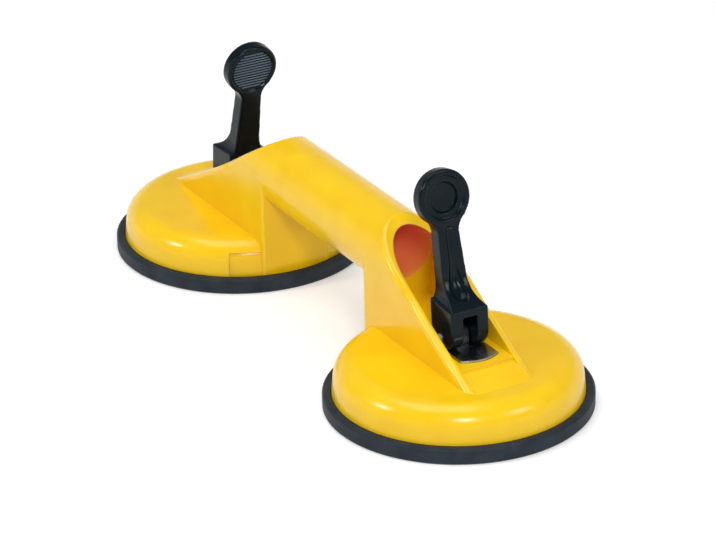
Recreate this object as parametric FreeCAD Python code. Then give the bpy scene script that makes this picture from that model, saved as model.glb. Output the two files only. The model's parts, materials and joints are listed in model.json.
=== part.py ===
import FreeCAD, Part
import math
import os

V = FreeCAD.Vector
os.makedirs("parts", exist_ok=True)

# Twin-cup suction lifter, millimetres. Z is up and the rubber stands on z = 0. X runs along the
# handle, with the two cups at x = -CUP_SPACING / 2 and +CUP_SPACING / 2. One cup unit is drawn about
# its own centre with +X pointing outward, and is turned half a turn about Z for the other end.

# ---- layout ---------------------------------------------------------------------------------
CUP_SPACING = 198.2          # between cup centres
HANDLE_Z = 54.0              # height of the handle tube's axis
RUN_GAP = 0.05               # radial running clearance of a pin in its eye
CLEAR = 0.3                  # free clearance between pieces that move past each other

# ---- rubber suction disc --------------------------------------------------------------------
DISC_R = 59.0                # 118 mm pad
DISC_T = 4.0                 # thickness of the web
LIP_H = 7.3                  # height of the lip that wraps the housing's foot
LIP_ROUND = 0.9
SEAL_GROOVES = (42.0, 47.5, 53.0)      # radii of the sealing grooves in the underside
SEAL_GROOVE_W = 1.4
SEAL_GROOVE_D = 0.7
POCKET_WALL = 3.2            # rubber ring that grips the steel insert
POCKET_LIP = 2.4             # overlap of that ring on the insert
POCKET_LIP_T = 1.1

# ---- housing (dome) -------------------------------------------------------------------------
DOME_R = 55.0                # at the foot
DOME_TOP_Z = 23.0
DOME_SIDE_TILT = 6.0         # degrees from vertical
DOME_SHOULDER_R = 10.0
SHELL = 3.0                  # wall thickness of the moulding
FOOT_Z = 4.1                 # the wall's foot stands in the disc's groove
RING_RIB_R = 46.0            # ring that holds the pad's rim down
RING_RIB_T = 2.0
RIM_RIBS = 12
RIM_RIB_T = 2.0
RIM_NOTCH_D = 0.9            # shallow lifting notches beside the column
RIM_NOTCH_TOP = 17.9
RIM_NOTCH_FROM = 18.3        # degrees from the inward direction
RIM_NOTCH_TO = 34.4

# ---- column, handle tube and side fins ------------------------------------------------------
TUBE_R = 16.8
TUBE_WALL = 3.6
COLUMN_IN = -52.9            # inner face of the column
COLUMN_WEB = 6.8             # column web between its inner face and the lever bay
COLUMN_ROUND = 1.2
MOUTH_TOP = (-44.0, 67.0)    # slanted mouth of the lever bay: an arc through three points
MOUTH_MID = (-4.0, 42.9)
MOUTH_END = (37.6, 22.4)
MOUTH_SLOPE = 0.68           # rise of the straight cut above the mouth's top
MOUTH_ROUND = 2.7

# ---- platform under the lever ---------------------------------------------------------------
PLATFORM_Z = 28.7
PLATFORM_FRONT = 24.0
PLATFORM_STEP = 1.5          # from the platform down to the ramp between the fins' toes
RAMP_END_X = 38.5
LEDGE_Z = 30.8               # bay floor behind the wear plate
LEDGE_X = -17.0
FLOOR_T = 3.0

# ---- wear plate -----------------------------------------------------------------------------
PLATE_T = 1.2
PLATE_SINK = 0.4             # how deep the plate is let into the platform
PLATE_EDGE = 0.3             # chamfer round its top
PLATE_FIT = 0.35             # recess to plate, all round
PLATE_HALF_W = 9.4
PLATE_CORNER_X = 17.6
PLATE_NOSE_X = 20.8
PLATE_BACK_X = -14.0

# ---- lever: x outward and z up from the pivot, drawn square to its own base --------------------
LEAN = 4.0                   # released lever leans inward, degrees
CAM_BACK = 7.0               # pivot to the inward face
CAM_BASE = 3.2               # pivot to the base
CAM_THROW = 11.2             # pivot to the outward face, which is the locked side
CAM_GAP = 0.05               # cam to wear plate
BOX_HALF_W = 9.2
BOX_TOP_OUT = 14.4
BOX_TOP_IN = 16.6
SLOT_W = 7.0
SLOT_TOP = 10.9
SLOT_BACK = 4.8
NOSE_FROM = 20.0             # cam angle where the bearing curve starts, degrees
BOX_ROUND = 0.8
ARM_LEAN = 7.5               # arm to base, degrees
NECK_Z = 45.0
NECK_T = 6.9                 # arm thickness at the neck
NECK_HALF_W = 5.1
NECK_X = -7.0                # arm centre at the neck
ARM_TOP_T = 5.6
ARM_ROOT_X = -0.4            # arm's outward face above its flared root
ARM_ROOT_Z = 25.5
ARM_FLARE_Z = 22.0
ARM_FLARE_HALF_W = 6.1
PADDLE_R = 12.5
PADDLE_T = 6.5
PADDLE_X = -8.6
PADDLE_Z = 59.8
FLUTE_TOP_R = 2.4            # flute down the arm's outward face, widening to a round end
FLUTE_END_R = 4.0
FLUTE_D = 1.3
FLUTE_TOP_Z = 46.0
FLUTE_END_Z = 24.2
THUMB_RIBS = 13
THUMB_PITCH = 1.4
THUMB_R = 10.6
THUMB_D = 0.8
TRAY_R = 10.2                # shallow tray and deeper well on the outward face
TRAY_D = 0.8
WELL_R = 7.4
WELL_D = 2.4
WELL_DRAFT = 0.6
PADDLE_ROUND = 1.2

# ---- pull stem, insert and pin --------------------------------------------------------------
PIN_R = 2.0
PIN_PROUD = 1.0
PIN_CHAMFER = 0.35
EYE_R = 4.0
STEM_T = 6.0                 # across, in the lever's slot
STEM_ROD_R = 4.0             # round threaded end
STEM_SHOULDER_Z = 14.6
INSERT_R = 23.8
INSERT_T = 2.4
BOSS_AF = 16.0
BOSS_H = 4.0
NUT_AF = 13.0
NUT_H = 3.4

# ---- sizes that follow from the ones above --------------------------------------------------
BORE_R = TUBE_R - TUBE_WALL
BAY_BACK = COLUMN_IN + COLUMN_WEB
PLATE_TOP = PLATFORM_Z - PLATE_SINK + PLATE_T
PLATE_SEAT = PLATFORM_Z - PLATE_SINK
FOLD = math.radians(90.0 + LEAN)                                  # released to locked
CAM_REST = CAM_BASE * math.cos(math.radians(LEAN)) + CAM_BACK * math.sin(math.radians(LEAN))
CAM_RATE = (CAM_THROW - CAM_REST) / FOLD                          # lift per radian
PIVOT_Z = PLATE_TOP + CAM_GAP + CAM_REST
INSERT_Z = DISC_T + 0.1


def revolve(points):
    """Turn an (r, z) outline about the Z axis."""
    wire = Part.makePolygon([V(r, 0, z) for r, z in points + points[:1]])
    return Part.Face(wire).revolve(V(0, 0, 0), V(0, 0, 1), 360)


def ring(r_in, r_out, z0, z1):
    """Plain ring about the Z axis."""
    return Part.makeCylinder(r_out, z1 - z0, V(0, 0, z0)).cut(
        Part.makeCylinder(r_in, z1 - z0, V(0, 0, z0)))


def box(x0, x1, y0, y1, z0, z1):
    return Part.makeBox(x1 - x0, y1 - y0, z1 - z0, V(x0, y0, z0))


def hexagon(across_flats, z0, height):
    r = across_flats / math.sqrt(3.0)
    pts = [V(r * math.cos(math.radians(60 * i)), r * math.sin(math.radians(60 * i)), z0)
           for i in range(7)]
    return Part.Face(Part.makePolygon(pts)).extrude(V(0, 0, height))


def door(half_w, spring_z, foot_z, x0, x1):
    """Round-topped column section, extruded along X."""
    a, b = V(x0, -half_w, foot_z), V(x0, half_w, foot_z)
    c, d = V(x0, half_w, spring_z), V(x0, -half_w, spring_z)
    arch = Part.Arc(c, V(x0, 0, spring_z + half_w), d).toShape()
    wire = Part.Wire([Part.makeLine(a, b), Part.makeLine(b, c), arch, Part.makeLine(d, a)])
    return Part.Face(wire).extrude(V(x1 - x0, 0, 0))


def slab(points, half_w):
    """Side outline of (x, z) points, extruded evenly either side of y = 0."""
    wire = Part.makePolygon([V(x, -half_w, z) for x, z in points + points[:1]])
    return Part.Face(wire).extrude(V(0, 2 * half_w, 0))


# ---- one-piece handle and housings ------------------------------------------------------------
def dome(offset, foot_z, top_z, shoulder_r):
    """Solid of the dome, drawn in by offset."""
    tilt = math.radians(DOME_SIDE_TILT)
    foot_r = DOME_R - offset
    side_top_r = foot_r - (top_z - LIP_H) * math.tan(tilt)
    reach = shoulder_r * math.tan((math.pi / 2 - tilt) / 2)
    p0, p1 = V(0, 0, foot_z), V(foot_r, 0, foot_z)
    p2 = V(foot_r, 0, LIP_H)
    p3 = V(side_top_r + reach * math.sin(tilt), 0, top_z - reach * math.cos(tilt))
    p5 = V(side_top_r - reach, 0, top_z)
    centre = V(p5.x, 0, top_z - shoulder_r)
    p4 = centre + V(shoulder_r * math.sin((math.pi / 2 - tilt) / 2), 0,
                    shoulder_r * math.cos((math.pi / 2 - tilt) / 2))
    p6 = V(0, 0, top_z)
    wire = Part.Wire([Part.makeLine(p0, p1), Part.makeLine(p1, p2), Part.makeLine(p2, p3),
                      Part.Arc(p3, p4, p5).toShape(), Part.makeLine(p5, p6), Part.makeLine(p6, p0)])
    return Part.Face(wire).revolve(V(0, 0, 0), V(0, 0, 1), 360)


def mouth_cutter():
    """Everything above the slanted mouth of the lever bay."""
    far, high, half_w = 2 * DISC_R, 2 * HANDLE_Z, DISC_R
    start = V(MOUTH_TOP[0], -half_w, MOUTH_TOP[1])
    mid = V(MOUTH_MID[0], -half_w, MOUTH_MID[1])
    end = V(MOUTH_END[0], -half_w, MOUTH_END[1])
    lead_x = MOUTH_TOP[0] - (high - MOUTH_TOP[1]) / MOUTH_SLOPE
    lead = V(lead_x, -half_w, high)
    tail = V(far, -half_w, MOUTH_END[1])
    corner = V(far, -half_w, high)
    wire = Part.Wire([Part.makeLine(lead, start), Part.Arc(start, mid, end).toShape(),
                      Part.makeLine(end, tail), Part.makeLine(tail, corner),
                      Part.makeLine(corner, lead)])
    return Part.Face(wire).extrude(V(0, 2 * half_w, 0))


def plate_outline(grow, z0, z1):
    """Wear plate: straight sides and back, bowed front edge."""
    w, x0, x1 = PLATE_HALF_W + grow, PLATE_BACK_X - grow, PLATE_CORNER_X
    a, b, c, d = V(x0, -w, z0), V(x1, -w, z0), V(x1, w, z0), V(x0, w, z0)
    nose = Part.Arc(b, V(PLATE_NOSE_X + grow, 0, z0), c).toShape()
    wire = Part.Wire([Part.makeLine(a, b), nose, Part.makeLine(c, d), Part.makeLine(d, a)])
    return Part.Face(wire).extrude(V(0, 0, z1 - z0))


def cup_housing():
    """Dome, column, fins and platform of one end, about its cup centre."""
    shell = dome(0.0, FOOT_Z, DOME_TOP_Z, DOME_SHOULDER_R)
    column = door(TUBE_R, HANDLE_Z, DOME_TOP_Z - SHELL, COLUMN_IN, MOUTH_END[0] + 6)
    column = column.fuse(box(COLUMN_IN, 0, -TUBE_R, TUBE_R, FOOT_Z, DOME_TOP_Z))
    column = column.removeSplitter()
    upright = [e for e in column.Edges if len(e.Vertexes) == 2
               and all(abs(v.X - COLUMN_IN) < 1e-6 for v in e.Vertexes)
               and abs(e.Vertexes[0].Y - e.Vertexes[1].Y) < 1e-6
               and abs(e.Vertexes[0].Z - e.Vertexes[1].Z) > 1]
    column = column.makeFillet(COLUMN_ROUND, upright)

    # lever bay between the fins, down to the platform
    bay = door(BORE_R, HANDLE_Z, DOME_TOP_Z - SHELL, BAY_BACK, DISC_R)
    column = column.cut(bay).cut(mouth_cutter())
    rim = [e for e in column.Edges if is_mouth_edge(e)]
    column = column.makeFillet(MOUTH_ROUND, rim)

    floor = box(BAY_BACK, LEDGE_X, -BORE_R, BORE_R, DOME_TOP_Z - SHELL, LEDGE_Z)
    floor = floor.fuse(box(LEDGE_X, PLATFORM_FRONT, -BORE_R, BORE_R, DOME_TOP_Z - SHELL, PLATFORM_Z))
    low, step = DOME_TOP_Z - SHELL, PLATFORM_Z - PLATFORM_STEP
    ramp = slab([(PLATFORM_FRONT - 1, low), (PLATFORM_FRONT - 1, step), (PLATFORM_FRONT, step),
                 (RAMP_END_X, DOME_TOP_Z - 0.2), (RAMP_END_X, low)], BORE_R)

    # the column's face cuts the dome's rim off square
    rim_cut = box(-DISC_R, COLUMN_IN, -TUBE_R, TUBE_R, FOOT_Z - 1, DOME_TOP_Z)
    body = shell.cut(rim_cut).fuse([column, floor, ramp])
    return body.cut(plate_outline(PLATE_FIT, PLATE_SEAT, LEDGE_Z + 5))


def is_mouth_edge(edge):
    """Outer edge of the slanted mouth, on the fins and over the tube's end."""
    if len(edge.Vertexes) < 2:
        return False
    box_ = edge.BoundBox
    if box_.ZLength < 3 or box_.XLength < 3:
        return False
    mid = edge.valueAt((edge.FirstParameter + edge.LastParameter) / 2)
    radial = math.hypot(mid.y, max(0.0, mid.z - HANDLE_Z))
    return abs(radial - TUBE_R) < 0.05 and mid.x > BAY_BACK - 12


def cup_cavity():
    """Hollow of one housing, open at the foot."""
    inner = dome(SHELL, FOOT_Z - 1, DOME_TOP_Z - SHELL, DOME_SHOULDER_R - SHELL)
    web = box(-DISC_R, BAY_BACK, -TUBE_R, TUBE_R, FOOT_Z - 1, DOME_TOP_Z)
    inner = inner.cut(web)
    low = box(LEDGE_X + FLOOR_T, PLATFORM_FRONT - SHELL, -BORE_R + 0.6, BORE_R - 0.6,
              DOME_TOP_Z - SHELL - 1, PLATE_SEAT - FLOOR_T)
    high = box(BAY_BACK + SHELL, LEDGE_X + FLOOR_T, -BORE_R + 0.6, BORE_R - 0.6,
               DOME_TOP_Z - SHELL - 1, LEDGE_Z - FLOOR_T)
    inner = inner.fuse([low, high])
    guide = box(-EYE_R - CLEAR, EYE_R + CLEAR, -STEM_T / 2 - CLEAR, STEM_T / 2 + CLEAR,
                DOME_TOP_Z - SHELL - 1, LEDGE_Z + 5)
    notches = []
    core = dome(RIM_NOTCH_D, -1, DOME_TOP_Z - RIM_NOTCH_D, DOME_SHOULDER_R - RIM_NOTCH_D)
    for side in (-1, 1):
        sweep = RIM_NOTCH_TO - RIM_NOTCH_FROM
        sector = Part.makeCylinder(DISC_R, RIM_NOTCH_TOP, V(0, 0, 0), V(0, 0, 1), sweep)
        start = 180 - RIM_NOTCH_TO if side > 0 else 180 + RIM_NOTCH_FROM
        sector.rotate(V(0, 0, 0), V(0, 0, 1), start)
        notches.append(sector.cut(core))
    return [inner, guide] + notches


def cup_ribs():
    """Ring rib and short radial ribs that keep the pad's rim down."""
    ribs = [ring(RING_RIB_R - RING_RIB_T, RING_RIB_R, FOOT_Z, DOME_TOP_Z - SHELL + 0.5)]
    for i in range(RIM_RIBS):
        rib = box(RING_RIB_R - 0.5, DOME_R - SHELL + 0.4, -RIM_RIB_T / 2, RIM_RIB_T / 2,
                  LIP_H, DOME_TOP_Z - SHELL + 0.5)
        rib.rotate(V(0, 0, 0), V(0, 0, 1), (i + 0.5) * 360.0 / RIM_RIBS)
        ribs.append(rib)
    inside = dome(SHELL - 0.5, FOOT_Z, DOME_TOP_Z - SHELL + 0.5, DOME_SHOULDER_R - SHELL)
    fused = ribs[0].fuse(ribs[1:]).common(inside)
    return fused.cut(box(LEDGE_X - 40, PLATFORM_FRONT, -BORE_R, BORE_R, DOME_TOP_Z - SHELL - 0.01,
                         DOME_TOP_Z))


def place(shape, side):
    """Put a cup-centred shape at the right (+1) or left (-1) end."""
    moved = shape.copy()
    if side < 0:
        moved.rotate(V(0, 0, 0), V(0, 0, 1), 180)
    moved.translate(V(side * CUP_SPACING / 2, 0, 0))
    return moved


def handle_body():
    reach = CUP_SPACING / 2 + COLUMN_IN + COLUMN_ROUND + 0.05
    tube = Part.makeCylinder(TUBE_R, 2 * reach, V(-reach, 0, HANDLE_Z), V(1, 0, 0))
    housing, cavity, ribs = cup_housing(), cup_cavity(), cup_ribs()
    body = tube.fuse([place(housing, 1), place(housing, -1)])
    body = body.cut([place(c, side) for side in (1, -1) for c in cavity])
    body = body.fuse([place(ribs, 1), place(ribs, -1)])
    bore_reach = CUP_SPACING / 2 + BAY_BACK + 0.5
    bore = Part.makeCylinder(BORE_R, 2 * bore_reach, V(-bore_reach, 0, HANDLE_Z), V(1, 0, 0))
    return body.cut(bore).removeSplitter()


# ---- suction disc -----------------------------------------------------------------------------
def suction_disc():
    groove_in, lip_in = DOME_R - SHELL - CLEAR, DOME_R + CLEAR
    pocket = INSERT_R + 0.2
    ring_top = INSERT_Z + INSERT_T + 0.1 + POCKET_LIP_T
    outline = [(0, 0), (DISC_R - LIP_ROUND, 0), (DISC_R, LIP_ROUND), (DISC_R, LIP_H - LIP_ROUND),
               (DISC_R - LIP_ROUND, LIP_H), (lip_in, LIP_H), (lip_in, DISC_T), (0, DISC_T)]
    disc = revolve(outline)
    disc = disc.fuse(ring(pocket, pocket + POCKET_WALL, DISC_T - 1, ring_top))
    disc = disc.fuse(ring(pocket - POCKET_LIP, pocket + POCKET_WALL, ring_top - POCKET_LIP_T, ring_top))
    for r in SEAL_GROOVES:
        disc = disc.cut(ring(r - SEAL_GROOVE_W / 2, r + SEAL_GROOVE_W / 2, -1, SEAL_GROOVE_D))
    return disc.removeSplitter()


# ---- steel insert, boss, nut and stem ---------------------------------------------------------
def insert_plate():
    return Part.makeCylinder(INSERT_R, INSERT_T, V(0, 0, INSERT_Z))


def insert_boss():
    z0 = INSERT_Z + INSERT_T
    return hexagon(BOSS_AF, z0, BOSS_H).cut(Part.makeCylinder(STEM_ROD_R, BOSS_H, V(0, 0, z0)))


def jam_nut():
    z0 = INSERT_Z + INSERT_T + BOSS_H
    nut = hexagon(NUT_AF, z0, NUT_H).cut(Part.makeCylinder(STEM_ROD_R, NUT_H, V(0, 0, z0)))
    r, reach = NUT_AF / 2, NUT_AF
    crown = Part.makeCone(r + reach, r, reach * math.tan(math.radians(30)),
                          V(0, 0, z0 + NUT_H - reach * math.tan(math.radians(30))))
    return nut.common(crown)


def pull_stem():
    rod_top = STEM_SHOULDER_Z
    rod = Part.makeCylinder(STEM_ROD_R, rod_top - INSERT_Z - INSERT_T, V(0, 0, INSERT_Z + INSERT_T))
    bar = box(-EYE_R, EYE_R, -STEM_T / 2, STEM_T / 2, rod_top, PIVOT_Z)
    eye = Part.makeCylinder(EYE_R, STEM_T, V(0, -STEM_T / 2, PIVOT_Z), V(0, 1, 0))
    hole = Part.makeCylinder(PIN_R + RUN_GAP, STEM_T, V(0, -STEM_T / 2, PIVOT_Z), V(0, 1, 0))
    return rod.fuse([bar, eye]).cut(hole).removeSplitter()


def wear_plate():
    plate = plate_outline(0.0, PLATE_SEAT, PLATE_TOP)
    slot = box(-EYE_R - 2 * CLEAR, EYE_R + 2 * CLEAR, -STEM_T / 2 - 2 * CLEAR, STEM_T / 2 + 2 * CLEAR,
               PLATE_SEAT, PLATE_TOP)
    top = [e for e in plate.Edges if abs(e.BoundBox.ZMin - PLATE_TOP) < 1e-6]
    return plate.makeChamfer(PLATE_EDGE, top).cut(slot)


def pivot_pin():
    """Plain pin with chamfered ends that stand a little proud of the lever's cheeks."""
    half = BOX_HALF_W + PIN_PROUD - PIN_CHAMFER
    pin = Part.makeCylinder(PIN_R, 2 * half, V(0, -half, PIVOT_Z), V(0, 1, 0))
    tips = [Part.makeCone(PIN_R, PIN_R - PIN_CHAMFER, PIN_CHAMFER, V(0, m * half, PIVOT_Z), V(0, m, 0))
            for m in (-1, 1)]
    return pin.fuse(tips).removeSplitter()


# ---- lever ------------------------------------------------------------------------------------
def cam_nose(count=8):
    """Outline points where the cam bears while it turns: its height grows evenly with the angle."""
    lean, points = math.radians(LEAN), []
    for i in range(count):
        a = math.radians(NOSE_FROM + (90.0 - NOSE_FROM) * i / (count - 1))
        p = CAM_REST + CAM_RATE * (a + lean)
        points.append(V(p * math.sin(a) + CAM_RATE * math.cos(a), 0,
                        -p * math.cos(a) + CAM_RATE * math.sin(a)))
    return points


def cam_base():
    """Forked base of the lever, before its slot: flat back, bearing nose, flat locked side."""
    nose = cam_nose()
    bearing = Part.BSplineCurve()
    bearing.interpolate(nose)
    top_out, top_in = V(CAM_THROW, 0, BOX_TOP_OUT), V(-CAM_BACK, 0, BOX_TOP_IN)
    foot_in = V(-CAM_BACK, 0, nose[0].z)
    wire = Part.Wire([Part.makeLine(foot_in, nose[0]), bearing.toShape(),
                      Part.makeLine(nose[-1], top_out), Part.makeLine(top_out, top_in),
                      Part.makeLine(top_in, foot_in)])
    solid = Part.Face(wire).extrude(V(0, 2 * BOX_HALF_W, 0))
    solid.translate(V(0, -BOX_HALF_W, 0))
    solid = solid.common(box(-40, 40, -40, 40, -CAM_BASE, 40))
    cheeks = [e for e in solid.Edges
              if e.BoundBox.YLength < 1e-6 and e.BoundBox.ZMax > -CAM_BASE + 0.01]
    return solid.makeFillet(BOX_ROUND, cheeks)


def arm():
    """Arm between base and paddle: its side outline crossed with its front outline."""
    low = BOX_TOP_OUT - 2
    back_neck, front_neck = NECK_X - NECK_T / 2, NECK_X + NECK_T / 2
    back_top, front_top = PADDLE_X - ARM_TOP_T / 2, PADDLE_X + ARM_TOP_T / 2
    front_low, front_root = V(ARM_ROOT_X, 0, ARM_ROOT_Z), V(CAM_THROW - BOX_ROUND, 0, BOX_TOP_OUT + 0.2)
    outline = [Part.makeLine(V(-CAM_BACK + 0.3, 0, low), V(-CAM_BACK - 0.1, 0, ARM_FLARE_Z)),
               Part.makeLine(V(-CAM_BACK - 0.1, 0, ARM_FLARE_Z), V(back_neck, 0, NECK_Z)),
               Part.makeLine(V(back_neck, 0, NECK_Z), V(back_top, 0, PADDLE_Z)),
               Part.makeLine(V(back_top, 0, PADDLE_Z), V(front_top, 0, PADDLE_Z)),
               Part.makeLine(V(front_top, 0, PADDLE_Z), V(front_neck, 0, NECK_Z)),
               Part.makeLine(V(front_neck, 0, NECK_Z), front_low),
               Part.Arc(front_low, V(ARM_ROOT_X + 3.4, 0, ARM_ROOT_Z - 5.6), front_root).toShape(),
               Part.makeLine(front_root, V(front_root.x, 0, low)),
               Part.makeLine(V(front_root.x, 0, low), V(-CAM_BACK + 0.3, 0, low))]
    side = Part.Face(Part.Wire(outline)).extrude(V(0, 40, 0))
    side.translate(V(0, -20, 0))

    root_w = BOX_HALF_W - BOX_ROUND
    swell = V(0, PADDLE_R * math.cos(math.radians(42)), PADDLE_Z - PADDLE_R * math.sin(math.radians(42)))
    half = [V(0, root_w, low), V(0, root_w, BOX_TOP_OUT + 0.6), V(0, ARM_FLARE_HALF_W, ARM_FLARE_Z),
            V(0, NECK_HALF_W, NECK_Z), swell, V(0, swell.y - 1.5, PADDLE_Z)]
    root_mid = V(0, ARM_FLARE_HALF_W + 0.9, BOX_TOP_OUT + 3.2)
    neck_mid = V(0, NECK_HALF_W + 1.0, (NECK_Z + swell.z) / 2)
    right = [Part.makeLine(half[0], half[1]), Part.Arc(half[1], root_mid, half[2]).toShape(),
             Part.makeLine(half[2], half[3]), Part.Arc(half[3], neck_mid, half[4]).toShape(),
             Part.makeLine(half[4], half[5])]
    left = [edge.mirror(V(0, 0, 0), V(0, 1, 0)) for edge in right]
    mirror = [V(p.x, -p.y, p.z) for p in half]
    loop = right + [Part.makeLine(half[5], mirror[5])] + left + [Part.makeLine(mirror[0], half[0])]
    front = Part.Face(Part.Wire(Part.__sortEdges__(loop))).extrude(V(60, 0, 0))
    front.translate(V(-30, 0, 0))
    return side.common(front)


def paddle():
    """Round thumb paddle about its own axis: ribbed on the inward face, dished on the outward one."""
    face = PADDLE_T / 2
    disc = Part.makeCylinder(PADDLE_R, PADDLE_T, V(-face, 0, 0), V(1, 0, 0))
    disc = disc.makeFillet(PADDLE_ROUND, [e for e in disc.Edges if isinstance(e.Curve, Part.Circle)])
    well = Part.makeCylinder(THUMB_R, THUMB_D, V(-face, 0, 0), V(1, 0, 0))
    tray = Part.makeCone(TRAY_R - WELL_DRAFT, TRAY_R, TRAY_D, V(face - TRAY_D, 0, 0), V(1, 0, 0))
    dish = Part.makeCone(WELL_R - 2 * WELL_DRAFT, WELL_R, WELL_D, V(face - WELL_D, 0, 0), V(1, 0, 0))
    dish = dish.makeFillet(WELL_DRAFT, [e for e in dish.Edges if isinstance(e.Curve, Part.Circle)
                                        and e.BoundBox.XMax < face - TRAY_D])
    for i in range(THUMB_RIBS):
        z = (i - (THUMB_RIBS - 1) / 2) * THUMB_PITCH
        well = well.cut(box(-face, -face + THUMB_D, -THUMB_R, THUMB_R,
                            z - THUMB_PITCH / 4, z + THUMB_PITCH / 4))
    return disc, [well, tray, dish]


def lever():
    disc, hollows = paddle()
    top = arm().fuse(tip(disc)).cut([tip(h) for h in hollows])

    # flute down the arm's outward face
    neck_x = NECK_X + NECK_T / 2
    slope = (ARM_ROOT_X - neck_x) / (NECK_Z - ARM_ROOT_Z)
    upper = V(neck_x - slope * (FLUTE_TOP_Z - NECK_Z) + FLUTE_TOP_R - FLUTE_D, 0, FLUTE_TOP_Z)
    lower = V(neck_x + slope * (NECK_Z - FLUTE_END_Z) + FLUTE_END_R - FLUTE_D, 0, FLUTE_END_Z)
    along = upper - lower
    flute = Part.makeCone(FLUTE_END_R, FLUTE_TOP_R, along.Length, lower, along)
    top = top.cut([flute, Part.makeSphere(FLUTE_END_R, lower), Part.makeSphere(FLUTE_TOP_R, upper)])

    body = cam_base().fuse(top).removeSplitter()
    body = body.cut(box(-SLOT_BACK, CAM_THROW + 5, -SLOT_W / 2, SLOT_W / 2, -CAM_BASE - 5, SLOT_TOP))
    body = body.cut(Part.makeCylinder(PIN_R, 40, V(0, -20, 0), V(0, 1, 0)))
    body.rotate(V(0, 0, 0), V(0, 1, 0), -LEAN)
    body.translate(V(0, 0, PIVOT_Z))
    return body.removeSplitter()


def tip(shape):
    """Move a paddle-centred shape to the arm's end."""
    moved = shape.copy()
    moved.rotate(V(0, 0, 0), V(0, 1, 0), -ARM_LEAN)
    moved.translate(V(PADDLE_X, 0, PADDLE_Z))
    return moved


# ---- write every piece --------------------------------------------------------------------------
handle_body().exportStep("parts/handle_body.step")
PIECES = {"suction_disc": suction_disc, "insert_plate": insert_plate, "insert_boss": insert_boss,
          "jam_nut": jam_nut, "pull_stem": pull_stem, "wear_plate": wear_plate,
          "pivot_pin": pivot_pin, "lever": lever}
for name, make in PIECES.items():
    piece = make()
    for side, label in ((1, "right"), (-1, "left")):
        place(piece, side).exportStep("parts/%s_%s.step" % (name, label))

print("pivot at x = %.2f, z = %.3f; fold %.1f deg; lift %.3f mm; ratio %.6f m/rad" % (
    CUP_SPACING / 2, PIVOT_Z, math.degrees(FOLD), CAM_RATE * FOLD, CAM_RATE / 1000))
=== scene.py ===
"""Looks of the double-cup suction lifter: yellow moulded handle, black pads and cam levers."""
import json
import math

import bmesh
import bpy
import numpy as np
from mathutils import Matrix, Vector
from mathutils.bvhtree import BVHTree


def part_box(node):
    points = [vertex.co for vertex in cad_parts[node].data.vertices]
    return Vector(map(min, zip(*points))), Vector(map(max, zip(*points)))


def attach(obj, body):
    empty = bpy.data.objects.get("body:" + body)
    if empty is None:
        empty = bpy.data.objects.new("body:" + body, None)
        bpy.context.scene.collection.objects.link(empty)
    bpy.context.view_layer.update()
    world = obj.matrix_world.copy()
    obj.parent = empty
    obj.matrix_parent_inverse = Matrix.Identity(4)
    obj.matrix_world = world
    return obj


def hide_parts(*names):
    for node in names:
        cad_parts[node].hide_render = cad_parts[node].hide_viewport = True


MM = 0.001
SIDES = ("right", "left")

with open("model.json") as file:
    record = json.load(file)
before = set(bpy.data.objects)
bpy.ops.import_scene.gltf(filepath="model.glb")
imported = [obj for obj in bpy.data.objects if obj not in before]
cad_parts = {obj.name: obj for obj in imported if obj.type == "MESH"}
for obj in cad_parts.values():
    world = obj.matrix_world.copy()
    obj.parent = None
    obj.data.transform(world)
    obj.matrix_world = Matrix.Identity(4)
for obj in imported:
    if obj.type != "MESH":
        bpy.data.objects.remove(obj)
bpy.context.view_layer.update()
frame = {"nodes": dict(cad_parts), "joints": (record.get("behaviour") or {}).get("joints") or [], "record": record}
scene = bpy.context.scene


# ---- node helpers -----------------------------------------------------------------------------
def socket(tree, name, kind, default=None, out=False, low=None, high=None):
    """A named input or output of a node group, with its default and its limits."""
    way = "OUTPUT" if out else "INPUT"
    item = tree.interface.new_socket(name=name, in_out=way, socket_type=kind)
    if default is not None:
        item.default_value = default
    if low is not None:
        item.min_value, item.max_value = low, high


def add(tree, kind, links=(), **settings):
    """A node with its settings; links maps its inputs to other sockets or to plain values."""
    node = tree.nodes.new(kind)
    for key, value in settings.items():
        setattr(node, key, value)
    for key, value in dict(links).items():
        put(tree, node.inputs[key], value)
    return node


def put(tree, target, value):
    """Links a socket or a node's first output to an input, or sets the input to a plain value."""
    if isinstance(value, bpy.types.NodeSocket):
        tree.links.new(value, target)
    elif isinstance(value, bpy.types.Node):
        tree.links.new(value.outputs[0], target)
    else:
        target.default_value = value


def math_node(tree, how, a, b=0.5):
    return add(tree, "ShaderNodeMath", {0: a, 1: b}, operation=how).outputs[0]


def spread(tree, value, low, high, to_low=0.0, to_high=1.0):
    """Stretches a value from low..high to to_low..to_high and stops it there."""
    node = add(tree, "ShaderNodeMapRange", {"Value": value, "From Min": low, "From Max": high,
                                            "To Min": to_low, "To Max": to_high})
    node.clamp = True
    return node.outputs["Result"]


def mixed(tree, kind, amount, a, b):
    """Goes from a to b, two values or two colours, as amount goes from 0 to 1."""
    node = add(tree, "ShaderNodeMix", data_type=kind)
    for name, value in (("Factor", amount), ("A", a), ("B", b)):
        put(tree, node.inputs[name], value)
    return node.outputs["Result"]


def tint(tree, amount, a, b):
    return mixed(tree, "RGBA", amount, a, b)


def noise(tree, where, scale, detail=3.0, rough=0.5, stretch=None):
    """Noise of 0 to 1, finer along the axes that stretch makes larger."""
    if stretch is not None:
        where = add(tree, "ShaderNodeMapping", {"Vector": where, "Scale": stretch}).outputs[0]
    return add(tree, "ShaderNodeTexNoise", {"Vector": where, "Scale": scale, "Detail": detail,
                                            "Roughness": rough}).outputs["Fac"]


# ---- effects that several finishes share ------------------------------------------------------
SCRATCH_TURNS = ((0.4, 0.2, 0.9), (1.1, 0.7, 2.3))        # the two ways that scratches run
SCRATCH_LENGTH = 26.0                                     # a scratch's length over its width


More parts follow.
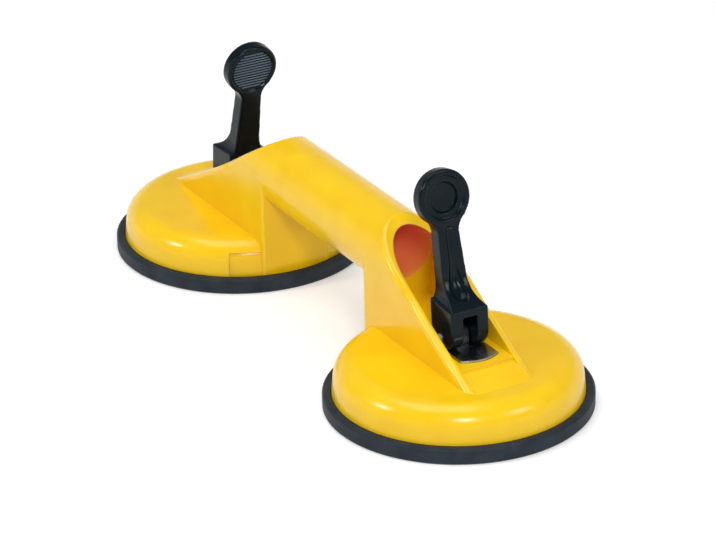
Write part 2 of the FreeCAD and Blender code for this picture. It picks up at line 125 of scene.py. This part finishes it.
def make_grain():
    """Fine surface grain of a mould or a rubber skin, with a slow waviness under it."""
    tree = bpy.data.node_groups.new("surface_grain", "ShaderNodeTree")
    socket(tree, "Grain Size", "NodeSocketFloat", 0.4 * MM)
    socket(tree, "Wave Size", "NodeSocketFloat", 20 * MM)
    socket(tree, "Wave Share", "NodeSocketFloat", 0.5)
    socket(tree, "Height", "NodeSocketFloat", out=True)
    socket(tree, "Cloud", "NodeSocketFloat", out=True)
    start, end = tree.nodes.new("NodeGroupInput"), tree.nodes.new("NodeGroupOutput")
    where = add(tree, "ShaderNodeTexCoord").outputs["Object"]
    fine = noise(tree, where, math_node(tree, "DIVIDE", 1.0, start.outputs["Grain Size"]), 2.0, 0.6)
    slow = noise(tree, where, math_node(tree, "DIVIDE", 1.0, start.outputs["Wave Size"]), 2.0, 0.4)
    height = mixed(tree, "FLOAT", start.outputs["Wave Share"], fine, slow)
    tree.links.new(height, end.inputs["Height"])
    tree.links.new(slow, end.inputs["Cloud"])
    return tree


def make_scuffs():
    """Mask of thin, broken handling scratches in two directions, and of dull rubbed patches."""
    tree = bpy.data.node_groups.new("handling_scuffs", "ShaderNodeTree")
    socket(tree, "Scratch Size", "NodeSocketFloat", 12 * MM)
    socket(tree, "Amount", "NodeSocketFloat", 0.5, low=0.0, high=1.0)
    socket(tree, "Scratches", "NodeSocketFloat", out=True)
    socket(tree, "Rubbed", "NodeSocketFloat", out=True)
    start, end = tree.nodes.new("NodeGroupInput"), tree.nodes.new("NodeGroupOutput")
    where = add(tree, "ShaderNodeTexCoord").outputs["Object"]
    scale = math_node(tree, "DIVIDE", 1.0, start.outputs["Scratch Size"])
    lines = []
    for turn in SCRATCH_TURNS:
        turned = add(tree, "ShaderNodeMapping", {"Vector": where, "Rotation": turn}).outputs[0]
        long = noise(tree, turned, scale, 4.0, 0.55, stretch=(1.0, SCRATCH_LENGTH, SCRATCH_LENGTH))
        lines.append(spread(tree, long, 0.66, 0.72))
    gaps = spread(tree, noise(tree, where, math_node(tree, "MULTIPLY", scale, 0.6)), 0.5, 0.62)
    both = math_node(tree, "MAXIMUM", lines[0], lines[1])
    both = math_node(tree, "MULTIPLY", both, gaps)
    patches = noise(tree, where, math_node(tree, "MULTIPLY", scale, 0.35), 5.0, 0.62)
    for name, mask in (("Scratches", both), ("Rubbed", spread(tree, patches, 0.45, 0.75))):
        tree.links.new(math_node(tree, "MULTIPLY", mask, start.outputs["Amount"]), end.inputs[name])
    return tree


GRAIN, SCUFFS = make_grain(), make_scuffs()


def use(tree, group, **values):
    """A group node with its inputs set by name."""
    node = tree.nodes.new("ShaderNodeGroup")
    node.node_tree = group
    for key, value in values.items():
        node.inputs[key.replace("_", " ")].default_value = value
    return node


def new_finish(name):
    material = bpy.data.materials.new(name)
    material.use_nodes = True
    return material, material.node_tree, material.node_tree.nodes["Principled BSDF"]


def set_plain(shader, **values):
    """Sets inputs of a shader that take no link."""
    for key, value in values.items():
        shader.inputs[key.replace("_", " ")].default_value = value


def bump(tree, shader, height, depth, strength):
    node = add(tree, "ShaderNodeBump", {"Height": height, "Distance": depth, "Strength": strength})
    tree.links.new(node.outputs[0], shader.inputs["Normal"])
    return node


def rounded(tree, shader, height, depth, strength, radius):
    """Grain over arrises that are rubbed round, as a mould and long use leave them."""
    node = bump(tree, shader, height, depth, strength)
    put(tree, node.inputs["Normal"], add(tree, "ShaderNodeBevel", {"Radius": radius}, samples=4))


# ---- finishes ---------------------------------------------------------------------------------
TUBE_R, BORE_R = 16.8 * MM, 13.2 * MM                     # the handle tube, outside and inside
BORE_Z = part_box("handle_body")[1].z - TUBE_R              # height of its axis
BORE_WALL_FROM, BORE_WALL_TO = BORE_R - 0.2 * MM, BORE_R + 0.6 * MM
GLOW_FADES_FROM, GLOW_FADES_TO = 43 * MM, 69 * MM         # toward each mouth


def bore_painted_glow_mask(tree):
    """Mask of the painted red shade and painted glow: 1 inside the handle tube, where light arrives only through
    its glowing wall, 0 outside.
    """
    where = add(tree, "ShaderNodeTexCoord").outputs["Object"]
    place = add(tree, "ShaderNodeSeparateXYZ", {0: where})
    up = math_node(tree, "SUBTRACT", place.outputs["Z"], BORE_Z)
    squares = [math_node(tree, "POWER", side, 2.0) for side in (place.outputs["Y"], up)]
    off = math_node(tree, "SQRT", math_node(tree, "ADD", *squares))
    inside = spread(tree, off, BORE_WALL_FROM, BORE_WALL_TO, 1.0, 0.0)
    along = math_node(tree, "ABSOLUTE", place.outputs["X"])
    return math_node(tree, "MULTIPLY", inside,
                     spread(tree, along, GLOW_FADES_FROM, GLOW_FADES_TO, 1.0, 0.0))


def moulded_yellow():
    """Glossy yellow moulding, a little wavy, lightly scratched, with painted red shade and a painted glow inside
    the tube.
    """
    material, tree, shader = new_finish("moulded_yellow")
    grain = use(tree, GRAIN, Grain_Size=0.35 * MM, Wave_Size=14 * MM, Wave_Share=0.75)
    scuffs = use(tree, SCUFFS, Scratch_Size=16 * MM, Amount=0.3)
    colour = tint(tree, spread(tree, grain.outputs["Cloud"], 0.3, 0.7), (0.92, 0.56, 0.005, 1),
                  (0.95, 0.61, 0.007, 1))
    colour = tint(tree, scuffs.outputs["Scratches"], colour, (0.96, 0.72, 0.12, 1))
    # inside the tube: painted red shade in the base colour and a painted glow in the emission, standing in for
    # light through the wall
    painted_bore_tint = bore_painted_glow_mask(tree)
    put(tree, shader.inputs["Base Color"], tint(tree, painted_bore_tint, colour, (0.99, 0.24, 0.13, 1)))
    put(tree, shader.inputs["Emission Color"],
        tint(tree, painted_bore_tint, (0, 0, 0, 1), (0.05, 0.011, 0.010, 1)))
    put(tree, shader.inputs["Roughness"],
        mixed(tree, "FLOAT", scuffs.outputs["Rubbed"], 0.20, 0.36))
    set_plain(shader, IOR=1.43, Emission_Strength=1.0)
    rounded(tree, shader, grain.outputs["Height"], 0.10 * MM, 0.3, 0.5 * MM)
    return material


def pad_rubber():
    """Matt black rubber with pale rubbed patches."""
    material, tree, shader = new_finish("pad_rubber")
    grain = use(tree, GRAIN, Grain_Size=0.5 * MM, Wave_Size=9 * MM, Wave_Share=0.3)
    scuffs = use(tree, SCUFFS, Scratch_Size=9 * MM, Amount=0.6)
    colour = tint(tree, spread(tree, grain.outputs["Cloud"], 0.35, 0.7), (0.012, 0.018, 0.026, 1),
                  (0.022, 0.032, 0.045, 1))
    colour = tint(tree, scuffs.outputs["Rubbed"], colour, (0.045, 0.055, 0.066, 1))
    put(tree, shader.inputs["Base Color"], colour)
    put(tree, shader.inputs["Roughness"],
        spread(tree, grain.outputs["Height"], 0.3, 0.7, 0.52, 0.68))
    set_plain(shader, Specular_IOR_Level=0.22)
    rounded(tree, shader, grain.outputs["Height"], 0.2 * MM, 0.5, 0.4 * MM)
    return material


def black_plastic(name, colour, rough, mirror):
    """Black moulding of a given colour, roughness and strength of mirror."""
    material, tree, shader = new_finish(name)
    grain = use(tree, GRAIN, Grain_Size=0.3 * MM, Wave_Size=7 * MM, Wave_Share=0.5)
    scuffs = use(tree, SCUFFS, Scratch_Size=7 * MM, Amount=0.5)
    put(tree, shader.inputs["Base Color"],
        tint(tree, scuffs.outputs["Scratches"], colour + (1,), (0.05, 0.06, 0.07, 1)))
    put(tree, shader.inputs["Roughness"],
        spread(tree, scuffs.outputs["Rubbed"], 0.0, 0.5, rough, rough + 0.1))
    set_plain(shader, Specular_IOR_Level=mirror)
    rounded(tree, shader, grain.outputs["Height"], 0.10 * MM, 0.4, 0.4 * MM)
    return material


def steel(name, colour, rough, line, along, depth):
    """Metal with fine lines drawn along one axis."""
    material, tree, shader = new_finish(name)
    where = add(tree, "ShaderNodeTexCoord").outputs["Object"]
    stretch = tuple(1.0 if i == along else 40.0 for i in range(3))
    lines = noise(tree, where, 1.0 / line, 3.0, 0.6, stretch=stretch)
    scuffs = use(tree, SCUFFS, Scratch_Size=5 * MM, Amount=0.7)
    dark = tuple(c * 0.82 for c in colour) + (1,)
    put(tree, shader.inputs["Base Color"],
        tint(tree, spread(tree, lines, 0.35, 0.65), dark, colour + (1,)))
    put(tree, shader.inputs["Roughness"],
        math_node(tree, "ADD", spread(tree, lines, 0.3, 0.7, rough, rough + 0.1),
                  math_node(tree, "MULTIPLY", scuffs.outputs["Rubbed"], 0.12)))
    set_plain(shader, Metallic=1.0)
    bump(tree, shader, lines, depth, 0.4)
    return material


FINISH = {
    "housing_yellow": moulded_yellow(),
    "pad_rubber": pad_rubber(),
    "lever_black": black_plastic("lever_black", (0.001, 0.0068, 0.0105), 0.15, 0.17),
    # thumb bars lighter than the lever as painted sheen, standing in for the lamp light the bars catch
    "thumb_rubbed": black_plastic("thumb_rubbed", (0.085, 0.125, 0.170), 0.30, 0.6),
    "wear_steel": steel("polished_plate", (0.62, 0.62, 0.60), 0.16, 30 * MM, 1, 0.02 * MM),
    # pin steel lighter than plain steel, partly painted highlight for the bright pin end
    "pin_steel": steel("ground_pin", (0.95, 0.95, 0.94), 0.42, 10 * MM, 2, 0.02 * MM),
    # stem steel darkened as painted shade, for where it sits deep in the slot
    "zinc_steel": steel("darkened_steel", (0.07, 0.072, 0.078), 0.42, 8 * MM, 2, 0.02 * MM),
}
for part in frame["record"]["subparts"]:
    node = frame["nodes"][part["node"]]
    for spot in node.material_slots:
        spot.material = FINISH[part["material_slot"]]


# ---- lever mouldings --------------------------------------------------------------------------
LEAN, ARM_LEAN = math.radians(4.0), math.radians(7.5)     # lever to upright, arm to its base
PADDLE = Vector((-8.6, 0, 59.8)) * MM                     # paddle centre from the pivot
PADDLE_T = 6.5 * MM                                       # paddle thickness
TRAY_R, TRAY_D, TRAY_RAMP = 10.0 * MM, 0.9 * MM, 1.0 * MM
TRAY_DISH = 0.5                                           # how much the tray deepens to its middle
WELL_R, WELL_D, WELL_RAMP = 7.0 * MM, 2.6 * MM, 0.9 * MM
THUMB_R, THUMB_D, THUMB_EDGE = 10.4 * MM, 0.85 * MM, 0.7 * MM   # recess, its rim round the bars
THUMB_RAMP_IN, THUMB_RAMP_OUT = 0.1 * MM, 0.4 * MM        # its wall, to each side of its radius
THUMB_PITCH, THUMB_BAR_R, THUMB_BAR_SINK = 1.4 * MM, 0.34 * MM, 0.2 * MM
RECESS_REACH = 0.6 * MM                                   # how far past a recess points are moved
FLUTE_TOP, FLUTE_FOOT, FLUTE_SIDE = 46.5 * MM, 16.2 * MM, 4.3 * MM
FLUTE_TOP_ROUND, FLUTE_FOOT_ROUND = 2.0 * MM, 4.0 * MM    # how far the round ends reach
FLUTE_HALF_TOP, FLUTE_HALF_MORE = 1.8 * MM, 1.9 * MM      # half width, and what its foot adds
FLUTE_WIDE_BELOW, FLUTE_SLIM_ABOVE = 18.5 * MM, 34 * MM
FLUTE_D_TOP, FLUTE_D_MORE = 1.1 * MM, 1.7 * MM            # depth, and what its foot adds
FLUTE_DEEP_BELOW, FLUTE_FLAT_ABOVE = 18 * MM, 36 * MM
FLUTE_SECTION = 0.55                                      # 0.5 would be an ellipse across
FACE_DEPTH, FACE_EASE = 4.4 * MM, 9                       # skin that counts as face, its smoothing
RAY_FROM = 20 * MM                                        # a ray at the arm starts this far out
SKIN, EASE_TIMES = 0.32 * MM, 7                           # mesh size of the levers, its smoothing
WELD = 0.002 * MM


def lever_place(side):
    """Matrix from the lever's own frame (x outward, z up its base) to the object's frame."""
    joint = next(j for j in frame["joints"] if j["name"] == "lever_fold_" + side)
    turn = Matrix.Rotation(0.0 if side == "right" else math.pi, 4, "Z")
    return Matrix.Translation(Vector(joint["pos_m"])) @ turn @ Matrix.Rotation(-LEAN, 4, "Y")


def paddle_place(side):
    """Matrix from the paddle's own frame (x outward through its middle) to the object's frame."""
    return lever_place(side) @ Matrix.Translation(PADDLE) @ Matrix.Rotation(-ARM_LEAN, 4, "Y")


def merged_copy(node, name):
    """A joined-up copy of a rigid node's mesh, as a new object."""
    bm = bmesh.new()
    bm.from_mesh(frame["nodes"][node].data)
    bmesh.ops.remove_doubles(bm, verts=bm.verts, dist=WELD)
    mesh = bpy.data.meshes.new(name)
    bm.to_mesh(mesh)
    bm.free()
    return new_piece(name, mesh)


def new_piece(name, mesh):
    piece = bpy.data.objects.new(name, mesh)
    scene.collection.objects.link(piece)
    return piece


def baked(piece):
    """Turns a piece's modifiers into its plain mesh."""
    bpy.context.view_layer.update()
    result = piece.evaluated_get(bpy.context.evaluated_depsgraph_get())
    mesh = bpy.data.meshes.new_from_object(result)
    piece.modifiers.clear()
    mesh.name = piece.name
    piece.data = mesh
    return piece


def smoothed(piece, times):
    """Rubs a piece's arrises round, evenly and without making it larger."""
    ease = piece.modifiers.new("ease", "SMOOTH")
    ease.factor, ease.iterations = 0.5, times
    return baked(piece)


def points_in(mesh, place):
    """Vertex positions in the frame that place leads out of."""
    co = np.empty(len(mesh.vertices) * 3)
    mesh.vertices.foreach_get("co", co)
    back = np.array(place.inverted())
    return co.reshape(-1, 3) @ back[:3, :3].T + back[:3, 3]


def put_points(mesh, place, points):
    """Sets a mesh's vertices from positions in the frame that place leads out of."""
    out = np.array(place)
    mesh.vertices.foreach_set("co", (points @ out[:3, :3].T + out[:3, 3]).ravel())
    mesh.update()


def step(x, low, high):
    """0 below low, 1 above high, with a smooth ramp between."""
    t = np.clip((x - low) / (high - low), 0, 1)
    return t * t * (3 - 2 * t)


def press_paddle(mesh, side):
    """Tray and well on the paddle's outward face, flat-floored thumb recess on the inward one."""
    place = paddle_place(side)
    p = points_in(mesh, place)
    r = np.hypot(p[:, 1], p[:, 2])
    dish = TRAY_DISH * (r / TRAY_R - 1)
    outer = PADDLE_T / 2 - TRAY_D * (1 - step(r, TRAY_R - TRAY_RAMP, TRAY_R)) * (1 - dish)
    outer -= (WELL_D - TRAY_D) * (1 - step(r, WELL_R - WELL_RAMP, WELL_R))
    front = (p[:, 0] > 0.2 * MM) & (r < TRAY_R + RECESS_REACH)
    p[front, 0] = outer[front]
    sunk = 1 - step(r, THUMB_R - THUMB_RAMP_IN, THUMB_R + THUMB_RAMP_OUT)
    inner = -PADDLE_T / 2 + THUMB_D * sunk
    back = (p[:, 0] < -PADDLE_T / 2 + 1.5 * MM) & (r < THUMB_R + RECESS_REACH)
    p[back, 0] = inner[back]
    put_points(mesh, place, p)


def flute_half_width(height):
    """Half the flute's width at a height: slim above, a spoon below, with round ends."""
    wide = FLUTE_HALF_TOP + FLUTE_HALF_MORE * (1 - step(height, FLUTE_WIDE_BELOW, FLUTE_SLIM_ABOVE))
    foot = np.clip((height - FLUTE_FOOT) / FLUTE_FOOT_ROUND, 0, 1)
    top = np.clip((FLUTE_TOP - height) / FLUTE_TOP_ROUND, 0, 1)
    return wide * np.sqrt(foot * (2 - foot)) * np.sqrt(top * (2 - top)) + 1e-9


def arm_face(rigid, place, heights):
    """How far out the arm's face stands beside the flute at these heights, eased along the arm."""
    inward = place.to_3x3() @ Vector((-1, 0, 0))
    hits = [rigid.ray_cast(place @ Vector((RAY_FROM, FLUTE_SIDE, h)), inward)[0] for h in heights]
    face = [(place.inverted() @ hit).x for hit in hits]
    ease = np.hanning(FACE_EASE)
    return np.convolve(np.pad(face, FACE_EASE // 2, mode="edge"), ease / ease.sum(), mode="valid")


def press_flute(mesh, side, rigid):
    """Flute down the arm's outward face that widens into a spoon over the arm's root."""
    place = lever_place(side)
    p = points_in(mesh, place)
    y, z = np.abs(p[:, 1]), p[:, 2]
    heights = np.linspace(FLUTE_FOOT - 2 * MM, FLUTE_TOP + 2 * MM, 80)
    face_x = np.interp(z, heights, arm_face(rigid, place, heights))
    half = flute_half_width(z)
    inside = (y < FLUTE_SIDE) & (z > FLUTE_FOOT) & (z < FLUTE_TOP)
    inside &= np.abs(p[:, 0] - face_x) < FACE_DEPTH
    floor = FLUTE_D_TOP + FLUTE_D_MORE * (1 - step(z, FLUTE_DEEP_BELOW, FLUTE_FLAT_ABOVE))
    across = np.clip(1 - (y / half) ** 2, 0, 1) ** FLUTE_SECTION
    depth = floor * across * np.clip(half / FLUTE_HALF_TOP, 0, 1)
    rows = np.where(inside)[0]
    p[rows, 0] = face_x[rows] - depth[rows]
    put_points(mesh, place, p)


def lever_moulding(side):
    """Black cam lever: the rigid lever's shape, its arrises rubbed round and its face modelled."""
    piece = merged_copy("lever_" + side, "lever_moulding_" + side)
    rigid = BVHTree.FromPolygons([v.co.copy() for v in piece.data.vertices],
                                 [tuple(f.vertices) for f in piece.data.polygons])
    skin = piece.modifiers.new("skin", "REMESH")
    skin.mode, skin.voxel_size, skin.adaptivity = "VOXEL", SKIN, 0.0
    baked(piece)
    press_paddle(piece.data, side)
    press_flute(piece.data, side, rigid)
    smoothed(piece, EASE_TIMES)
    finish_piece(piece, "lever_black", f"lever_{side}_body")
    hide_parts("lever_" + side)


def finish_piece(piece, finish, body):
    """Gives a piece its finish, its body and the material slot that it stands for."""
    piece.data.materials.clear()
    piece.data.materials.append(FINISH[finish])
    piece.data.polygons.foreach_set("use_smooth", [True] * len(piece.data.polygons))
    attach(piece, body)


# ---- thumb grips ------------------------------------------------------------------------------
def grip_tree():
    """Round bars side by side that fill a circle, each as long as the circle is wide there."""
    tree = bpy.data.node_groups.new("thumb_bars", "GeometryNodeTree")
    sizes = (("Circle Radius", 10 * MM), ("Pitch", 1.4 * MM), ("Bar Radius", 0.4 * MM))
    for name, default in sizes:
        socket(tree, name, "NodeSocketFloat", default)
    socket(tree, "Finish", "NodeSocketMaterial")
    socket(tree, "Geometry", "NodeSocketGeometry", out=True)
    start, end = tree.nodes.new("NodeGroupInput"), tree.nodes.new("NodeGroupOutput")
    radius, pitch = start.outputs["Circle Radius"], start.outputs["Pitch"]
    each_side = math_node(tree, "FLOOR", math_node(tree, "DIVIDE", radius, pitch))
    count = math_node(tree, "MULTIPLY_ADD", each_side, 2.0)
    count.node.inputs[2].default_value = 1.0
    low = math_node(tree, "MULTIPLY", math_node(tree, "MULTIPLY", each_side, pitch), -1.0)
    row = add(tree, "GeometryNodeMeshLine", {
        "Count": count, "Start Location": add(tree, "ShaderNodeCombineXYZ", {"Z": low}),
        "Offset": add(tree, "ShaderNodeCombineXYZ", {"Z": pitch})})
    bar = add(tree, "GeometryNodeMeshCylinder", {
        "Vertices": 14, "Side Segments": 6, "Radius": start.outputs["Bar Radius"], "Depth": 2.0})
    bar = add(tree, "GeometryNodeTransform", {"Geometry": bar.outputs["Mesh"],
                                              "Rotation": (math.pi / 2, 0, 0)})
    where = add(tree, "GeometryNodeInputPosition")
    height = add(tree, "ShaderNodeSeparateXYZ", {0: where}).outputs["Z"]
    reach = math_node(tree, "SUBTRACT", math_node(tree, "POWER", radius, 2.0),
                      math_node(tree, "POWER", height, 2.0))
    reach = math_node(tree, "SQRT", math_node(tree, "MAXIMUM", reach, 0.0))
    bars = add(tree, "GeometryNodeInstanceOnPoints", {
        "Points": row.outputs["Mesh"], "Instance": bar.outputs["Geometry"],
        "Scale": add(tree, "ShaderNodeCombineXYZ", {"X": 1.0, "Y": reach, "Z": 1.0})})
    solid = add(tree, "GeometryNodeRealizeInstances", {"Geometry": bars.outputs["Instances"]})
    done = add(tree, "GeometryNodeSetMaterial", {"Geometry": solid.outputs["Geometry"],
                                                 "Material": start.outputs["Finish"]})
    tree.links.new(done.outputs["Geometry"], end.inputs["Geometry"])
    return tree


def grown(tree, name, **inputs):
    """Runs a geometry tree with these inputs and returns its result as a plain piece."""
    piece = new_piece(name, bpy.data.meshes.new(name))
    run = piece.modifiers.new("grow", "NODES")
    run.node_group = tree
    for item in tree.interface.items_tree:
        key = item.name.replace(" ", "_")
        if item.in_out == "INPUT" and key in inputs:
            run[item.identifier] = inputs[key]
    return baked(piece)


GRIP = grip_tree()


def thumb_grip(side):
    """The row of bars in the recess on the paddle's inward face."""
    piece = grown(GRIP, "thumb_grip_" + side, Circle_Radius=THUMB_R - THUMB_EDGE, Pitch=THUMB_PITCH,
                  Bar_Radius=THUMB_BAR_R, Finish=FINISH["thumb_rubbed"])
    floor = Matrix.Translation(Vector((-PADDLE_T / 2 + THUMB_D - THUMB_BAR_SINK, 0, 0)))
    piece.data.transform(paddle_place(side) @ floor)
    finish_piece(piece, "thumb_rubbed", f"lever_{side}_body")


for side in SIDES:
    lever_moulding(side)
    thumb_grip(side)


# ---- floor, light and camera ------------------------------------------------------------------
FLOOR_HALF, FLOOR_DROP = 3.0, 0.05 * MM                   # a hair below the pads
FLOOR_GLOW = 0.30
ROOM_FILL = 0.32                                          # room light on the object
LOW_BAND = (0.10, 0.34)                                   # where the white band fades upward
AIM = Vector((-42.469, 30.088, 0.0)) * MM
AZIMUTH, ELEVATION, ROLL = math.radians(61.008), math.radians(24.827), math.radians(-1.23)
DISTANCE = 1894.66 * MM
LENS, SENSOR = 205.94816, 36.0                            # millimetres
CLIP_START, CLIP_END = 0.05, 20.0
LAMPS = (                                                 # name, place, aim, side in metres, watts
    ("overhead", (-0.1, -0.2, 1.5), (0, 0, 0), 1.0, 8.5),
    ("left_front", (-0.5, -1.6, 1.1), (0, 0, 0.03), 0.3, 8.5),
    ("right_front", (1.42, -0.62, 1.05), (0, 0, 0.03), 0.3, 10.5),
    ("right_back", (1.4, 0.80, 1.1), (0, 0, 0.03), 0.5, 6.5),
)


def white_to_the_eye(tree, plain, strength):
    """Adds white that only the camera, mirrors and glass see, so nothing else is lit by it."""
    path = add(tree, "ShaderNodeLightPath")
    seen = math_node(tree, "MAXIMUM", path.outputs["Is Camera Ray"], path.outputs["Is Glossy Ray"])
    seen = math_node(tree, "MAXIMUM", seen, path.outputs["Is Transmission Ray"])
    glow = add(tree, "ShaderNodeEmission", {
        "Color": (1, 1, 1, 1), "Strength": math_node(tree, "MULTIPLY", seen, strength)})
    return add(tree, "ShaderNodeAddShader", {0: plain, 1: glow.outputs[0]}).outputs[0]


def lay_floor():
    """Plain pale table that shows white and keeps the object's shadow."""
    bm = bmesh.new()
    bmesh.ops.create_grid(bm, x_segments=8, y_segments=8, size=FLOOR_HALF)
    mesh = bpy.data.meshes.new("table_top")
    bm.to_mesh(mesh)
    bm.free()
    floor = bpy.data.objects.new("table_top", mesh)
    floor.location.z = -FLOOR_DROP
    scene.collection.objects.link(floor)
    material, tree, shader = new_finish("pale_table")
    where = add(tree, "ShaderNodeTexCoord").outputs["Object"]
    mottle = noise(tree, where, 30.0, 3.0)
    put(tree, shader.inputs["Base Color"],
        tint(tree, mottle, (0.80, 0.80, 0.80, 1), (0.84, 0.84, 0.84, 1)))
    set_plain(shader, Roughness=0.9)
    shown = white_to_the_eye(tree, shader.outputs[0], FLOOR_GLOW)
    tree.links.new(shown, tree.nodes["Material Output"].inputs["Surface"])
    mesh.materials.append(material)


def light_room():
    """Plain soft room: white to the camera, and to gloss and metal low down; dimmer overhead."""
    world = bpy.data.worlds.new("studio")
    scene.world = world
    world.use_nodes = True
    tree = world.node_tree
    path = add(tree, "ShaderNodeLightPath")
    where = add(tree, "ShaderNodeTexCoord").outputs["Generated"]
    toward = add(tree, "ShaderNodeSeparateXYZ", {0: where})
    low_down = spread(tree, toward.outputs["Z"], *LOW_BAND, 1.0, ROOM_FILL)
    mirrored = math_node(tree, "MAXIMUM", path.outputs["Is Glossy Ray"],
                         path.outputs["Is Transmission Ray"])
    mirrored = math_node(tree, "MULTIPLY", mirrored, low_down)
    seen = math_node(tree, "MAXIMUM", path.outputs["Is Camera Ray"], mirrored)
    background = tree.nodes["Background"]
    put(tree, background.inputs["Color"], (1, 1, 1, 1))
    put(tree, background.inputs["Strength"], math_node(tree, "MAXIMUM", seen, ROOM_FILL))


def soft_box(name, place, aim, size, power):
    lamp = bpy.data.lights.new(name, "AREA")
    lamp.shape, lamp.size, lamp.energy = "SQUARE", size, power
    box = bpy.data.objects.new(name, lamp)
    box.location = place
    box.rotation_euler = (Vector(place) - Vector(aim)).to_track_quat("Z", "Y").to_euler()
    scene.collection.objects.link(box)


def place_camera():
    """Camera on its mount round the aim: azimuth, elevation, distance, then a little roll."""
    level = math.cos(ELEVATION)
    back = Vector((math.sin(AZIMUTH) * level, -math.cos(AZIMUTH) * level, math.sin(ELEVATION)))
    right = (-back).cross(Vector((0, 0, 1))).normalized()
    up = right.cross(-back)
    side = right * math.cos(ROLL) + up * math.sin(ROLL)
    top = -right * math.sin(ROLL) + up * math.cos(ROLL)
    data = bpy.data.cameras.new("view")
    data.sensor_width, data.lens = SENSOR, LENS
    data.clip_start, data.clip_end = CLIP_START, CLIP_END
    camera = bpy.data.objects.new("view", data)
    camera.matrix_world = Matrix.Translation(AIM + back * DISTANCE) @ Matrix(
        (side, top, back)).transposed().to_4x4()
    scene.collection.objects.link(camera)
    scene.camera = camera


scene.view_settings.view_transform = "Standard"
lay_floor()
light_room()
for lamp in LAMPS:
    soft_box(*lamp)
place_camera()
